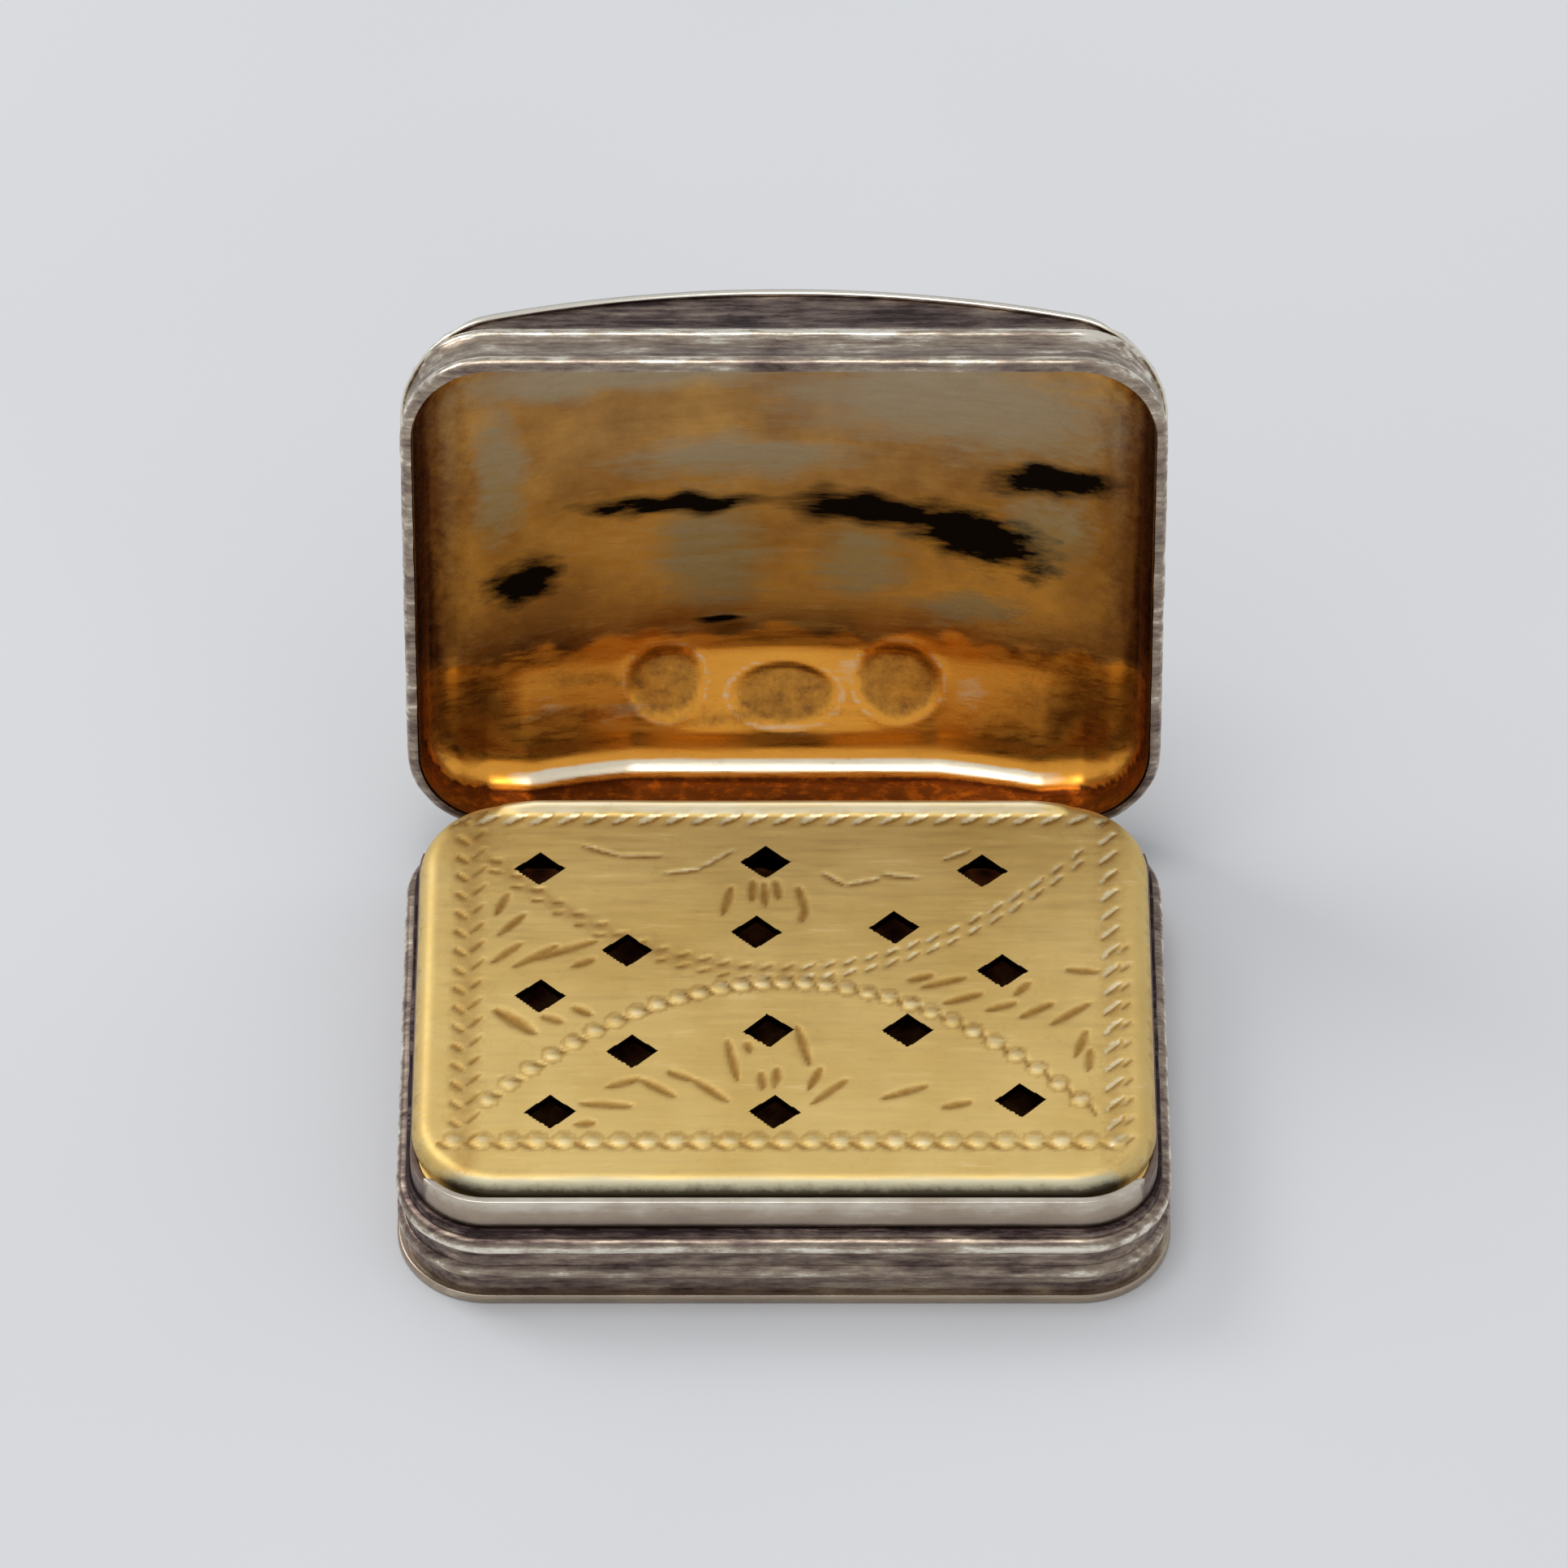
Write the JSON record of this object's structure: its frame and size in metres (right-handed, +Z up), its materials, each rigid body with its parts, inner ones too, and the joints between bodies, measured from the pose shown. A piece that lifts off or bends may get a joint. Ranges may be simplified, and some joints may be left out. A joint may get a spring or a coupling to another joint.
{
  "type": "vinaigrette",
  "caption": "Small rectangular silver vinaigrette with reeded sides, an arched hinged lid and a gilt pierced grille over a scent sponge.",
  "frame": {"origin": "centre of the flat underside of the base plate", "axes": "+Z up from the table, +Y towards the hinge, +X along the width to the right seen from the front"},
  "size_m": [0.025, 0.0276, 0.0198],
  "materials": {
    "silver": "worn, tarnished silver",
    "gilt": "worn gilding on silver",
    "sponge": "dry natural sponge"
  },
  "bodies": {
    "base_body": {"base_plate": "silver", "base_band": "silver", "bezel": "gilt", "grille_ledge": "gilt", "sponge": "sponge", "base_tube_left": "silver", "base_tube_middle": "silver", "base_tube_right": "silver", "hinge_pin": "silver", "hinge_plug_left": "silver", "hinge_plug_right": "silver"},
    "lid_body": {"lid_band": "silver", "lid_plate": "silver", "lid_tube_left": "silver", "lid_tube_right": "silver"},
    "grille_body": {"grille": "gilt", "grille_tube_left": "gilt", "grille_tube_right": "gilt"}
  },
  "joints": [
    {"name": "lid_hinge", "type": "hinge", "parent": "base_body", "child": "lid_body", "pos_m": [0, 0.00895, 0.0024], "axis": [-1, 0, 0], "range_deg": [-103, 0]},
    {"name": "grille_hinge", "type": "hinge", "parent": "base_body", "child": "grille_body", "pos_m": [0, 0.00895, 0.0024], "axis": [-1, 0, 0], "range_deg": [0, 95]}
  ]
}
